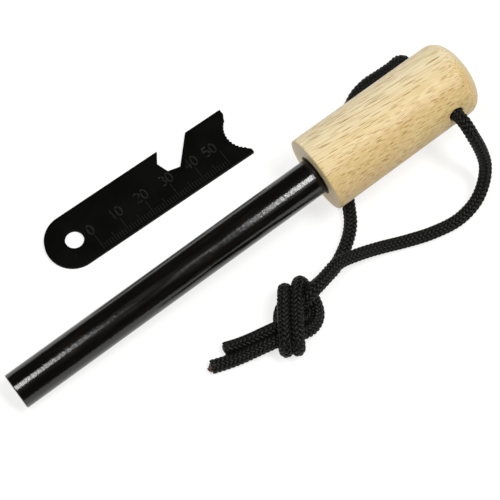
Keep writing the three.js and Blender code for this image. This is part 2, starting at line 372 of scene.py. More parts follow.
def braided_polyester(settings):
    """Black filament polyester, tightly braided"""
    # Streaks along each yarn's filaments are painted paler than the black, a painted glint that stands
    # for the soft grey glint on every float of the braid.
    # Real filaments are about 0.02 mm across, too fine to show, so they are drawn more than three times
    # as coarse.
    material, tree = new_material("braided_polyester")
    filament_width, filament_run, filament_height = 0.07 * MM, 2.5 * MM, 0.03 * MM
    painted_glint = 3.2
    black = linear(settings.colour)
    pale = [painted_glint * c for c in black[:3]] + [1.0]
    yarn = add_node(tree, "ShaderNodeUVMap", uv_map="yarn")
    strung = add_node(tree, "ShaderNodeMapping", {
        "Vector": yarn, "Scale": (1 / filament_width, 1 / filament_run, 1)})
    filaments = add_node(tree, "ShaderNodeTexNoise", {"Vector": strung, "Scale": 1, "Detail": 3})
    share = add_node(tree, "ShaderNodeMapRange", {
        "Value": filaments, "From Min": 0.35, "From Max": 0.8}, interpolation_type="SMOOTHSTEP")
    # The pale colour on the filament streaks is the painted glint
    colour = add_node(tree, "ShaderNodeMix", {0: share, 6: black, 7: pale}, data_type="RGBA")
    relief = add_node(tree, "ShaderNodeBump", {"Height": filaments, "Distance": filament_height})
    shader = add_node(tree, "ShaderNodeBsdfPrincipled", {
        "Base Color": colour, "Roughness": 0.48, "Specular IOR Level": 0.2, "Normal": relief})
    add_node(tree, "ShaderNodeOutputMaterial", {"Surface": shader})
    return material


def melted_polyester(settings):
    """Polyester sealed with a flame"""
    # The melted drop is glossy and lumpy, black with a scorched red-brown tip
    material, tree = new_material("melted_polyester")
    lump_size, lump_height = 0.6 * MM, 0.12 * MM
    place = add_node(tree, "ShaderNodeTexCoord").outputs["Object"]
    lumps = add_node(tree, "ShaderNodeTexNoise", {"Vector": place, "Scale": 1 / lump_size, "Detail": 4})
    patches = add_node(tree, "ShaderNodeMapRange", {
        "Value": lumps, "From Min": 0.3, "From Max": 0.6}, interpolation_type="SMOOTHSTEP")
    tip = add_node(tree, "ShaderNodeAttribute", attribute_name="melt").outputs["Fac"]
    scorch = add_node(tree, "ShaderNodeMath", {0: tip, 1: patches}, operation="MULTIPLY")
    colour = add_node(tree, "ShaderNodeMix", {
        0: scorch, 6: linear(settings.colour), 7: linear(settings.melt_colour)}, data_type="RGBA")
    roughness = add_node(tree, "ShaderNodeMapRange", {
        "Value": lumps, "From Min": 0.3, "From Max": 0.7, "To Min": 0.28, "To Max": 0.6},
        interpolation_type="SMOOTHSTEP")
    relief = add_node(tree, "ShaderNodeBump", {"Height": lumps, "Distance": lump_height})
    shader = add_node(tree, "ShaderNodeBsdfPrincipled", {
        "Base Color": colour, "Roughness": roughness, "Normal": relief})
    add_node(tree, "ShaderNodeOutputMaterial", {"Surface": shader})
    return material


def black_lacquer(settings):
    """Black protective lacquer over a cast ferrocerium bar"""
    # The cast bar's dimples show through the gloss and break up the highlight's edges, and long faint
    # brown streaks run along it
    material, tree = new_material("black_lacquer")
    dimple_size, dimple_depth = 0.9 * MM, 0.04 * MM
    streak_length, streak_width = 16 * MM, 0.9 * MM
    brown_tint = (4.0, 3.2, 2.4)
    black = linear(settings.colour)
    brown = [c * tint for c, tint in zip(black, brown_tint)] + [1.0]
    place = add_node(tree, "ShaderNodeTexCoord").outputs["Object"]
    dimples = add_node(tree, "ShaderNodeTexNoise", {
        "Vector": place, "Scale": 1 / dimple_size, "Detail": 3, "Roughness": 0.6})
    level = add_node(tree, "ShaderNodeMapping", {"Vector": place, "Rotation": (0, ROD_SLOPE, 0)})
    lengthwise = add_node(tree, "ShaderNodeMapping", {
        "Vector": level, "Scale": (1 / streak_length, 1 / streak_width, 1 / streak_width)})
    streaks = add_node(tree, "ShaderNodeTexNoise", {
        "Vector": lengthwise, "Scale": 1, "Detail": 4, "Roughness": 0.6})
    share = add_node(tree, "ShaderNodeMapRange", {
        "Value": streaks, "From Min": 0.45, "From Max": 0.75}, interpolation_type="SMOOTHSTEP")
    colour = add_node(tree, "ShaderNodeMix", {0: share, 6: black, 7: brown}, data_type="RGBA")
    roughness = add_node(tree, "ShaderNodeMapRange", {
        "Value": streaks, "From Min": 0.3, "From Max": 0.7, "To Min": 0.11, "To Max": 0.18},
        interpolation_type="SMOOTHSTEP")
    relief = add_node(tree, "ShaderNodeBump", {"Height": dimples, "Distance": dimple_depth})
    shader = add_node(tree, "ShaderNodeBsdfPrincipled", {
        "Base Color": colour, "Roughness": roughness, "IOR": 1.55, "Normal": relief})
    add_node(tree, "ShaderNodeOutputMaterial", {"Surface": shader})
    return material


def dark_epoxy(settings):
    """Epoxy that set dark in the bore's mouth"""
    # A dull, rippled, nearly black ring that fills the corner between the rod and the wood
    material, tree = new_material("dark_epoxy")
    ripple_size, ripple_height = 1.2 * MM, 0.05 * MM
    place = add_node(tree, "ShaderNodeTexCoord").outputs["Object"]
    ripples = add_node(tree, "ShaderNodeTexNoise", {"Vector": place, "Scale": 1 / ripple_size})
    roughness = add_node(tree, "ShaderNodeMapRange", {
        "Value": ripples, "From Min": 0.3, "From Max": 0.7, "To Min": 0.5, "To Max": 0.7},
        interpolation_type="SMOOTHSTEP")
    relief = add_node(tree, "ShaderNodeBump", {"Height": ripples, "Distance": ripple_height})
    shader = add_node(tree, "ShaderNodeBsdfPrincipled", {
        "Base Color": linear(settings.glue_colour), "Roughness": roughness,
        "Specular IOR Level": 0.12, "Normal": relief})
    add_node(tree, "ShaderNodeOutputMaterial", {"Surface": shader})
    return material


def lacquered_beech(settings):
    """Turned beech under a thin satin lacquer"""
    # Pale cream wood with faint warm bands, a painted sheen that makes the far side paler, pale and brown
    # fibres and many short brown ray flecks.
    # Beech's pores are under 0.1 mm wide, too fine to show, so the fibres are drawn at 0.3 mm.
    material, tree = new_material("lacquered_beech")
    grain_turn = (math.radians(20), ROD_SLOPE, math.radians(8))
    fibre_height = 0.012 * MM
    # Across the handle, where the painted sheen starts and where it is full, and how far its border waves
    sheen_start, sheen_end = ROD_TIP.y - 2 * MM, ROD_TIP.y + 12 * MM
    sheen_waviness = 10 * MM
    coordinates = add_node(tree, "ShaderNodeTexCoord")
    place = coordinates.outputs["Object"]
    grain = add_node(tree, "ShaderNodeMapping", {"Vector": place, "Rotation": grain_turn})

    # Each pattern's cell in millimetres, along the grain and both ways across it, and its detail
    patterns = []
    for kind, cell, detail in (
            ("ShaderNodeTexNoise", (60, 5, 9), 2),
            ("ShaderNodeTexNoise", (22, 0.55, 0.9), 3),
            ("ShaderNodeTexNoise", (9, 0.3, 0.3), 2),
            ("ShaderNodeTexVoronoi", (10, 0.4, 0.4), 0)):
        stretched = add_node(tree, "ShaderNodeMapping", {
            "Vector": grain, "Scale": [1 / (size * MM) for size in cell]})
        patterns.append(add_node(tree, kind, {"Vector": stretched, "Scale": 1, "Detail": detail}))
    bands, streaks, fibres, cells = patterns

    # The far side, towards +Y, is painted in the pale colour as a painted sheen, with a wavy border. Each
    # layer of colour has a pattern, the values between which it comes in, and its strength.
    aside = add_node(tree, "ShaderNodeSeparateXYZ", {"Vector": place}).outputs["Y"]
    painted_sheen_border = add_node(tree, "ShaderNodeMath", {
        0: bands, 1: sheen_waviness, 2: aside}, operation="MULTIPLY_ADD")
    colour = linear(settings.light_colour)
    for pattern, low, high, strength, hex_colour in (
            (bands, 0.32, 0.68, 1, settings.warm_colour),
            (painted_sheen_border, sheen_start, sheen_end, 1, settings.pale_colour),
            (streaks, 0.42, 0.68, 0.6, settings.warm_colour),
            (fibres, 0.5, 0.75, 0.24, settings.fleck_colour),
            (fibres, 0.5, 0.3, 0.42, settings.pale_colour)):
        share = add_node(tree, "ShaderNodeMapRange", {
            "Value": pattern, "From Min": low, "From Max": high, "To Max": strength},
            interpolation_type="SMOOTHSTEP")
        colour = add_node(tree, "ShaderNodeMix", {
            0: share, 6: colour, 7: linear(hex_colour)}, data_type="RGBA")

    # A fleck lies in the middle of a cell. A few cells have none, and each fleck has a depth of its own.
    drawn = add_node(tree, "ShaderNodeSeparateColor", {"Color": cells.outputs["Color"]})
    flecks = 1.0
    for pattern, low, high, least in (
            (cells, 0.33, 0.22, 0),
            (drawn.outputs["Red"], 0.05, 0.1, 0),
            (drawn.outputs["Green"], 0, 0.9, 0.55)):
        share = add_node(tree, "ShaderNodeMapRange", {
            "Value": pattern, "From Min": low, "From Max": high, "To Min": least},
            interpolation_type="SMOOTHSTEP")
        flecks = add_node(tree, "ShaderNodeMath", {0: flecks, 1: share}, operation="MULTIPLY")
    facing = add_node(tree, "ShaderNodeVectorMath", {
        0: coordinates.outputs["Normal"], 1: tuple(ROD_AXIS)}, operation="DOT_PRODUCT")
    endwise = add_node(tree, "ShaderNodeMath", {0: facing}, operation="ABSOLUTE")
    end_grain = add_node(tree, "ShaderNodeMapRange", {
        "Value": endwise, "From Min": 0.5, "To Max": 0.7}, interpolation_type="SMOOTHSTEP")
    for share, hex_colour in ((flecks, settings.fleck_colour), (end_grain, settings.end_colour)):
        colour = add_node(tree, "ShaderNodeMix", {
            0: share, 6: colour, 7: linear(hex_colour)}, data_type="RGBA")

    roughness = add_node(tree, "ShaderNodeMapRange", {
        "Value": fibres, "From Min": 0.3, "From Max": 0.8, "To Min": 0.42, "To Max": 0.56},
        interpolation_type="SMOOTHSTEP")
    relief = add_node(tree, "ShaderNodeBump", {"Height": fibres, "Distance": fibre_height})
    shader = add_node(tree, "ShaderNodeBsdfPrincipled", {
        "Base Color": colour, "Roughness": roughness, "IOR": 1.48, "Normal": relief})
    add_node(tree, "ShaderNodeOutputMaterial", {"Surface": shader})
    return material


def blackened_steel(settings):
    """Stamped carbon steel with a matte black oxide finish"""
    # Nearly black and flat, with an even grit and slow, slightly paler clouds. The oxide's own grit is
    # too fine to show, so it is drawn at 0.22 mm.
    material, tree = new_material("blackened_steel")
    grit_size, grit_height, cloud_size = 0.22 * MM, 0.01 * MM, 9 * MM
    cloudy = 1.7
    black = linear(settings.colour)
    pale = [cloudy * c for c in black[:3]] + [1.0]
    place = add_node(tree, "ShaderNodeTexCoord").outputs["Object"]
    grit = add_node(tree, "ShaderNodeTexNoise", {
        "Vector": place, "Scale": 1 / grit_size, "Detail": 3, "Roughness": 0.6})
    clouds = add_node(tree, "ShaderNodeTexNoise", {
        "Vector": place, "Scale": 1 / cloud_size, "Detail": 3})
    share = add_node(tree, "ShaderNodeMapRange", {
        "Value": clouds, "From Min": 0.35, "From Max": 0.7}, interpolation_type="SMOOTHSTEP")
    colour = add_node(tree, "ShaderNodeMix", {0: share, 6: black, 7: pale}, data_type="RGBA")
    roughness = add_node(tree, "ShaderNodeMapRange", {
        "Value": grit, "From Min": 0.3, "From Max": 0.7, "To Min": 0.5, "To Max": 0.62},
        interpolation_type="SMOOTHSTEP")
    relief = add_node(tree, "ShaderNodeBump", {"Height": grit, "Distance": grit_height})
    shader = add_node(tree, "ShaderNodeBsdfPrincipled", {
        "Base Color": colour, "Roughness": roughness, "Specular IOR Level": 0.02, "Normal": relief})
    add_node(tree, "ShaderNodeOutputMaterial", {"Surface": shader})
    return material


def engraved_steel(settings):
    """Walls of the engraved lines, where the finish is thin"""
    # Smoother and greyer than the plate, so that the lines glint when light crosses them
    material, tree = new_material("engraved_steel")
    grit_size = 0.3 * MM
    place = add_node(tree, "ShaderNodeTexCoord").outputs["Object"]
    grit = add_node(tree, "ShaderNodeTexNoise", {"Vector": place, "Scale": 1 / grit_size})
    roughness = add_node(tree, "ShaderNodeMapRange", {
        "Value": grit, "From Min": 0.3, "From Max": 0.7, "To Min": 0.26, "To Max": 0.42},
        interpolation_type="SMOOTHSTEP")
    shader = add_node(tree, "ShaderNodeBsdfPrincipled", {
        "Base Color": linear(settings.groove_colour), "Metallic": 0.7, "Roughness": roughness})
    add_node(tree, "ShaderNodeOutputMaterial", {"Surface": shader})
    return material


def white_card(settings):
    """Matte white card, the plain floor, lit from below"""
    # An even pale surface with a barely visible fibre
    material, tree = new_material("white_card")
    fibre_size = 3 * MM
    shadow = 0.985
    white = linear(settings.floor_colour)
    shaded = [shadow * c for c in white[:3]] + [1.0]
    place = add_node(tree, "ShaderNodeTexCoord").outputs["Object"]
    fibre = add_node(tree, "ShaderNodeTexNoise", {"Vector": place, "Scale": 1 / fibre_size})
    colour = add_node(tree, "ShaderNodeMix", {0: fibre, 6: white, 7: shaded}, data_type="RGBA")
    shader = add_node(tree, "ShaderNodeBsdfPrincipled", {
        "Base Color": colour, "Roughness": 0.85, "Specular IOR Level": 0.2,
        "Emission Strength": settings.floor_glow})
    add_node(tree, "ShaderNodeOutputMaterial", {"Surface": shader})
    return material


# The lanyard's routes, from the rod's tip on the table: along, across and above it, in metres.
# The near leg leaves the handle on the side with the knot and bows out before it comes back.
NEAR_LEG_ROUTE = [
    (0.1634, -0.0133, 0.0249),
    (0.1633, -0.0155, 0.0256),
    (0.1632, -0.0177, 0.0254),
    (0.1632, -0.0198, 0.0244),
    (0.1634, -0.0216, 0.0227),
    (0.1638, -0.0231, 0.0206),
    (0.1644, -0.0254, 0.0163),
    (0.1642, -0.0280, 0.0116),
    (0.1614, -0.0312, 0.0073),
    (0.1562, -0.0340, 0.0042),
    (0.1484, -0.0352, 0.0026),
    (0.1392, -0.0338, 0.0022),
    (0.1309, -0.0312, 0.0022),
    (0.1217, -0.0280, 0.0031),
    (0.1140, -0.0263, 0.0052),
]

# The far leg leaves on the hidden side, drops, and passes under the handle to the knot
FAR_LEG_ROUTE = [
    (0.1641, 0.0133, 0.0168),
    (0.1641, 0.0149, 0.0163),
    (0.1637, 0.0164, 0.0151),
    (0.1629, 0.0173, 0.0133),
    (0.1615, 0.0176, 0.0114),
    (0.1596, 0.0182, 0.0096),
    (0.1570, 0.0189, 0.0076),
    (0.1533, 0.0198, 0.0052),
    (0.1484, 0.0193, 0.0033),
    (0.1442, 0.0172, 0.0024),
    (0.1400, 0.0139, 0.0022),
    (0.1354, 0.0090, 0.0022),
    (0.1310, 0.0030, 0.0022),
    (0.1266, -0.0038, 0.0022),
    (0.1230, -0.0102, 0.0022),
    (0.1196, -0.0156, 0.0022),
    (0.1148, -0.0200, 0.0023),
]

# The overhand knot, tied in both strands together, and the two tails: places to the right of the
# knot's middle, away from it and above the table, with the knot turned as a whole
KNOT_PLACE = (0.0860, -0.0285)
KNOT_TURN = math.radians(-36.3)
NEAR_KNOT_ROUTE = [
    (0.0150, 0.0147, 0.0071),
    (0.0120, 0.0110, 0.0081),
    (0.0092, 0.0072, 0.0093),
    (0.0071, 0.0047, 0.0096),
    (0.0053, 0.0027, 0.0086),
    (0.0036, 0.0012, 0.0070),
    (0.0019, -0.0001, 0.0056),
    (0.0005, -0.0013, 0.0041),
    (0.0002, -0.0035, 0.0025),
    (0.0009, -0.0062, 0.0021),
    (0.0015, -0.0096, 0.0022),
    (0.0019, -0.0124, 0.0033),
    (0.0021, -0.0136, 0.0061),
    (0.0020, -0.0124, 0.0088),
    (0.0018, -0.0096, 0.0099),
    (0.0016, -0.0055, 0.0100),
    (0.0015, -0.0015, 0.0100),
    (0.0016, 0.0020, 0.0100),
    (0.0019, 0.0051, 0.0095),
    (0.0024, 0.0074, 0.0081),
    (0.0031, 0.0085, 0.0059),
    (0.0043, 0.0079, 0.0034),
    (0.0060, 0.0060, 0.0022),
    (0.0075, 0.0033, 0.0022),
    (0.0083, 0.0003, 0.0024),
    (0.0081, -0.0029, 0.0031),
    (0.0067, -0.0058, 0.0043),
    (0.0041, -0.0079, 0.0054),
    (0.0010, -0.0089, 0.0060),
    (-0.0023, -0.0099, 0.0061),
    (-0.0070, -0.0118, 0.0052),
    (-0.0115, -0.0136, 0.0041),
    (-0.0160, -0.0154, 0.0030),
    (-0.0205, -0.0170, 0.0024),
    (-0.0250, -0.0184, 0.0022),
]
FAR_KNOT_ROUTE = [
    (0.0142, 0.0152, 0.0026),
    (0.0114, 0.0115, 0.0038),
    (0.0088, 0.0084, 0.0054),
    (0.0064, 0.0063, 0.0059),
    (0.0040, 0.0049, 0.0058),
    (0.0015, 0.0039, 0.0058),
    (-0.0009, 0.0022, 0.0056),
    (-0.0028, 0.0002, 0.0048),
    (-0.0035, -0.0020, 0.0036),
    (-0.0033, -0.0047, 0.0025),
    (-0.0028, -0.0075, 0.0022),
    (-0.0022, -0.0102, 0.0022),
    (-0.0017, -0.0129, 0.0033),
    (-0.0015, -0.0140, 0.0060),
    (-0.0017, -0.0129, 0.0088),
    (-0.0020, -0.0100, 0.0099),
    (-0.0022, -0.0060, 0.0099),
    (-0.0023, -0.0024, 0.0099),
    (-0.0023, 0.0012, 0.0098),
    (-0.0022, 0.0041, 0.0088),
    (-0.0020, 0.0059, 0.0065),
    (-0.0015, 0.0056, 0.0039),
    (0.0002, 0.0041, 0.0022),
    (0.0021, 0.0026, 0.0021),
    (0.0038, 0.0011, 0.0022),
    (0.0047, -0.0005, 0.0027),
    (0.0045, -0.0024, 0.0037),
    (0.0030, -0.0040, 0.0050),
    (0.0004, -0.0051, 0.0060),
    (-0.0033, -0.0062, 0.0060),
    (-0.0080, -0.0080, 0.0050),
    (-0.0125, -0.0098, 0.0038),
    (-0.0168, -0.0112, 0.0027),
    (-0.0210, -0.0124, 0.0022),
]


def to_frame(places):
    """Places from the rod's tip, in the frame"""
    return [(x + ROD_TIP.x, y + ROD_TIP.y, z) for x, y, z in places]


def from_knot(places):
    """Places in the knot, turned and moved to where it lies, in the frame"""
    cos, sin = math.cos(KNOT_TURN), math.sin(KNOT_TURN)
    return to_frame([(KNOT_PLACE[0] + r * cos - a * sin, KNOT_PLACE[1] + r * sin + a * cos, up)
                     for r, a, up in places])


def curve_through(places, steps=24):
    """A centripetal Catmull-Rom curve through the places"""
    p = np.array(places, float)
    p = np.vstack([2 * p[0] - p[1], p, 2 * p[-1] - p[-2]])
    share = np.arange(steps)[:, None] / steps
    curve = []
    for a, b, c, d in zip(p, p[1:], p[2:], p[3:]):
        before, here, after = (np.linalg.norm(q - r) ** 0.5 for q, r in ((a, b), (b, c), (c, d)))
        leave = ((b - a) / before - (c - a) / (before + here) + (c - b) / here) * here
        arrive = ((c - b) / here - (d - b) / (here + after) + (d - c) / after) * here
        curve.append(b + leave * share + (3 * (c - b) - 2 * leave - arrive) * share ** 2
                     + (2 * (b - c) + leave + arrive) * share ** 3)
    return np.vstack([*curve, p[-2:-1]])


def evenly(curve, spacing):
    """The curve's places at an even spacing, and how far along each is"""
    along = np.concatenate([[0], np.cumsum(np.linalg.norm(np.diff(curve, axis=0), axis=1))])
    even = np.linspace(0, along[-1], round(along[-1] / spacing) + 1)
    return np.stack([np.interp(even, along, curve[:, axis]) for axis in range(3)], axis=1), even


def unit(vectors):
    """The vectors at length one"""
    return vectors / np.linalg.norm(vectors, axis=-1, keepdims=True)


def untwisted_sides(line):
    """Two directions square to the line at each place, which don't turn about it"""
    tangents = unit(np.gradient(line, axis=0))
    side = unit(np.cross(tangents[0], (0, 0, 1)))
    sides = [side]
    for tangent in tangents[1:]:
        side = unit(side - tangent * side.dot(tangent))
        sides.append(side)
    sides = np.array(sides)
    return sides, np.cross(tangents, sides)


class Strand:
    """One half of the lanyard, from the middle of the cross hole to its tail"""

    def __init__(self, name, hole_middle, leg_route, knot_route, settings):
        rings_per_turn = 30
        inside_shares = (0.02, 0.35, 0.7)
        draw_in = 6 * MM
        self.name = name
        self.exit = np.array(to_frame(leg_route)[0])
        inside = [hole_middle + (self.exit - hole_middle) * share for share in inside_shares]
        route = np.array([*inside, *to_frame(leg_route), *from_knot(knot_route)])
        self.line, self.along = evenly(curve_through(route), settings.braid_pitch / rings_per_turn)

        # The strand changes smoothly to its width in the knot, over a short stretch at the knot's start
        knot_start = np.linalg.norm(self.line - from_knot(knot_route)[0], axis=1).argmin()
        share = np.clip((self.along - self.along[knot_start]) / draw_in + 0.5, 0, 1)
        share = share * share * (3 - 2 * share)
        width = settings.cord_diameter + (settings.knot_diameter - settings.cord_diameter) * share
        self.radius = width / 2
        self.weave = settings.yarn_thickness / 2
        self.outer = self.radius + self.weave / 2
        self.sides, self.ups = untwisted_sides(self.line)

    def length(self):
        """Along the strand, from the middle of the cross hole"""
        return float(self.along[-1])


def braid(strand, settings):
    """The yarns of a strand: places as [ring, yarn, side], before anything presses on them"""
    yarn_sides = 8
    flatness = 1.4
    spread = 0.1
    each_way = settings.yarns_each_way
    way = np.repeat([1, -1], each_way)
    number = np.tile(np.arange(each_way), 2)
    half_width, half_thickness = settings.yarn_width / 2, settings.yarn_thickness / 2
    turns = strand.along[:, None] / settings.braid_pitch
    angle = 2 * math.pi * (way * turns + number / each_way)

    # A yarn goes over two and under two, so its height is a wave of four crossings, with flat tops
    # midway between two crossings. It is a little wider where it lies on top.
    crossings = 2 * each_way * turns
    midway = 0.5
    wave = way * np.cos(math.pi / 2 * (way * crossings + 2 * number - midway))
    wave = np.tanh(flatness * wave) / math.tanh(flatness)
    middle = strand.outer[:, None] - half_thickness - strand.weave * (1 - wave)
    out = (np.cos(angle)[..., None] * strand.sides[:, None]
           + np.sin(angle)[..., None] * strand.ups[:, None])
    centres = strand.line[:, None] + middle[..., None] * out
    across = unit(np.cross(np.gradient(centres, axis=0), out))
    corners = 2 * math.pi * np.arange(yarn_sides) / yarn_sides - math.pi / 2
    width = half_width * (1 + spread * wave)
    return (centres[:, :, None]
            + (width[..., None, None] * np.cos(corners)[:, None]) * across[:, :, None]
            + half_thickness * np.sin(corners)[:, None] * out[:, :, None])


def pressed(places, strand, strands, settings):
    """The yarns where strands press on each other, on the table and in tight bends. They nest a little
    past the middle between two strands and no further, and the strand swells where it has room."""
    swell = 2.5
    nesting = 0.25 * MM
    clearance = 0.02 * MM
    own_reach = 1.6 * settings.cord_diameter
    least_slant = 0.12
    lines = np.vstack([s.line for s in strands])
    radii = np.concatenate([s.outer for s in strands])
    owner = np.concatenate([np.full(len(s.line), s is strand) for s in strands])
    along = np.concatenate([s.along for s in strands])
    for ring, (centre, radius) in enumerate(zip(strand.line, strand.outer)):
        toward = lines - centre
        far = np.linalg.norm(toward, axis=1)
        close = (far < radius + radii + clearance) & (
            ~owner | (np.abs(along - strand.along[ring]) > own_reach))
        normals = np.vstack([toward[close] / far[close, None], [(0, 0, -1)]])
        walls = np.append(far[close] * radius / (radius + radii[close]) + nesting,
                          centre[2] - clearance)
        offsets = places[ring].reshape(-1, 3) - centre
        reach = np.linalg.norm(offsets, axis=1)
        slant = offsets @ normals.T / reach[:, None]
        limit = np.where(
            slant > least_slant, walls / np.maximum(slant, least_slant), np.inf).min(axis=1)
        pressed_in = 1 - np.minimum(1, limit / radius).mean()
        share = np.minimum(1 + swell * pressed_in, limit / radius)
        places[ring] = (centre + offsets * share[:, None]).reshape(places[ring].shape)
    return places


def strand_piece(strand, strands, settings, material):
    """The mesh of a strand: its yarns, and a core that closes the gaps between them"""
    core_sides = 12
    core_depth = 1.55 * settings.yarn_thickness
    yarns = pressed(braid(strand, settings), strand, strands, settings)
    turn = 2 * math.pi * np.arange(core_sides) / core_sides
    core = (strand.line[:, None] + (strand.radius - core_depth)[:, None, None]
            * (np.cos(turn)[:, None] * strand.sides[:, None]
               + np.sin(turn)[:, None] * strand.ups[:, None]))
    core = pressed(core[:, None], strand, strands, settings)[:, 0]
    points, faces, textures = [], [], []
    start = 0
    for tube in [yarns[:, yarn] for yarn in range(yarns.shape[1])] + [core]:
        rings, sides = tube.shape[:2]
        points.append(tube.reshape(-1, 3))
        faces += tube_faces(start, rings, sides)
        start += rings * sides

        # The texture gives the real width and length on a yarn, in metres
        across = settings.yarn_width * np.abs(np.linspace(-1, 1, sides + 1))
        left, right = across[:-1], across[1:]
        low, high = strand.along[:-1, None], strand.along[1:, None]
        corners = [np.stack(np.broadcast_arrays(*corner), axis=-1)
                   for corner in ((left, low), (right, low), (right, high), (left, high))]
        textures += [np.stack(corners, axis=2).reshape(-1, 2), np.zeros((2 * sides, 2))]
    mesh = bpy.data.meshes.new(strand.name)
    mesh.from_pydata(np.vstack(points).tolist(), [], faces)
    mesh.materials.append(material)
    layer = mesh.uv_layers.new(name="yarn")
    layer.data.foreach_set("uv", np.vstack(textures).astype(np.float32).ravel())
    mesh.polygons.foreach_set("use_smooth", np.ones(len(mesh.polygons), bool))
    mesh.update()
    return link(strand.name, mesh)


def sealed_tail(strand, name, length, flare, hollow, scorch, frays, material):
    """The melted end of a strand: a lumpy cap over the yarns' cut ends, and stray filaments. A fray is
    its angle round the tail, how far it leans outwards, and its length."""
    rings, sides = 14, 36
    rings_back = 6
    skirt = 1.6 * MM
    grip, bluntness = 0.93, 0.32
    lumps = ((0.05, 3, 9), (0.03, 7, -14))
    hollow_angle = 1.1
    fray_rings = ((0, 0.1 * MM), (0.4, 0.09 * MM), (0.75, 0.07 * MM), (1, 0.03 * MM))
    fray_sides, fray_foot, fray_sag = 6, 0.75, 0.25
    table_gap = 0.05 * MM
    sharp_angle = math.radians(60)
    end = strand.line[-1]
    forward = unit(end - strand.line[-rings_back])
    radius = strand.radius[-1]

    def outward(angle):
        """The direction at an angle round the tail"""
        return strand.sides[-1] * math.cos(angle) + strand.ups[-1] * math.sin(angle)

    points, melt = [], []
    for ring in range(rings):
        share = ring / (rings - 1)
        turn = share * math.pi / 2
        along = -skirt * (1 - share) + length * math.sin(turn) ** 3
        out = radius * (grip + flare * math.sin(math.pi * share)) * math.cos(turn) ** bluntness
        for corner in range(sides):
            angle = 2 * math.pi * corner / sides
            lump = 1 + sum(height * math.sin(around * angle + onward * share)
                           for height, around, onward in lumps)
            dip = hollow * share ** 4 * math.cos(angle - hollow_angle)
            points.append(end + forward * (along + dip * length) + outward(angle) * out * lump)
            melt.append(scorch * share ** 2)
    faces = tube_faces(0, rings, sides)
    for angle, lean, reach in frays:
        faces += tube_faces(len(points), len(fray_rings), fray_sides)
        foot = end + outward(angle) * radius * fray_foot
        heading = unit(forward + outward(angle) * lean)
        for share, thick in fray_rings:
            middle = foot + heading * reach * share
            middle[2] -= reach * fray_sag * share ** 2
            for corner in range(fray_sides):
                points.append(middle + outward(2 * math.pi * corner / fray_sides) * thick)
                melt.append(scorch)
    points = np.array(points)
    points[:, 2] = np.maximum(points[:, 2], table_gap)
    piece = make_piece(name, points, faces, [material], sharp_angle)
    attribute = piece.data.attributes.new("melt", "FLOAT", "POINT")
    attribute.data.foreach_set("value", melt)
    return piece


# The camera and the stage

CAMERA_PLACE = Vector((-158.4, -234.2, 693.3)) * MM
CAMERA_TARGET = Vector((0.83, -17.4, 0)) * MM
CAMERA_LENS = 165.83
CAMERA_SENSOR = 36.0

# The soft boxes: the angles between which the rod sees each one, in degrees from straight up, along the
# rod and then across it, and the setting that holds its brightness
SOFT_BOXES = (
    ("left_light", (-16, -6.2), (-11, 12), "left_brightness"),
    ("right_light", (13, 25), (-29, -3), "right_brightness"),
    ("right_skirt", (11.1, 25), (-46, -29), "skirt_brightness"),
    ("left_end_light", (-65, -35), (5, 65), "end_brightness"),
    ("right_end_light", (35, 65), (5, 65), "end_brightness"),
)


def add_camera():
    """The camera, at the angle and with the long lens of a product picture"""
    data = bpy.data.cameras.new("camera")
    data.lens = CAMERA_LENS
    data.sensor_width = CAMERA_SENSOR
    camera = bpy.data.objects.new("camera", data)
    camera.location = CAMERA_PLACE
    camera.rotation_euler = (CAMERA_TARGET - CAMERA_PLACE).to_track_quat("-Z", "Y").to_euler()
    bpy.context.scene.collection.objects.link(camera)
    bpy.context.scene.camera = camera


def add_soft_light(name, distance, along, side, brightness):
    """A soft box that the rod sees between two angles along it and between two across it, in degrees
    from straight up"""
    lean, tilt = (math.radians(sum(pair) / 2) for pair in (along, side))
    upright = ROD_UP * math.cos(tilt) + ROD_SIDE * math.sin(tilt)
    out = ROD_AXIS * math.sin(lean) + upright * math.cos(lean)
    wide = ROD_AXIS * math.cos(lean) - upright * math.sin(lean)
    data = bpy.data.lights.new(name, "AREA")
    data.shape = "RECTANGLE"
    data.size, data.size_y = (
        2 * distance * math.tan(math.radians(pair[1] - pair[0]) / 2) for pair in (along, side))
    data.energy = brightness * math.pi * data.size * data.size_y
    light = bpy.data.objects.new(name, data)
    light.matrix_world = Matrix.Translation(out * distance) @ Matrix(
        (wide, out.cross(wide), out)).transposed().to_4x4()
    bpy.context.scene.collection.objects.link(light)


def add_stage(settings):
    """The floor, the soft boxes and the room"""
    half = settings.floor_size / 2
    corners = [(-half, -half), (half, -half), (half, half), (-half, half)]
    drop = 0.02 * MM
    floor = make_piece("floor", [(x, y, -drop) for x, y in corners], [(0, 1, 2, 3)],
                       [white_card(settings)])
    for name, along, side, brightness in SOFT_BOXES:
        add_soft_light(name, settings.light_distance, along, side, getattr(settings, brightness))
    scene = bpy.context.scene
    world = bpy.data.worlds.new("room")
    world.use_nodes = True
    background = world.node_tree.nodes["Background"]
    background.inputs["Color"].default_value = (1, 1, 1, 1)
    background.inputs["Strength"].default_value = settings.room_brightness
    scene.world = world
    scene.view_settings.view_transform = "Standard"


# The pieces

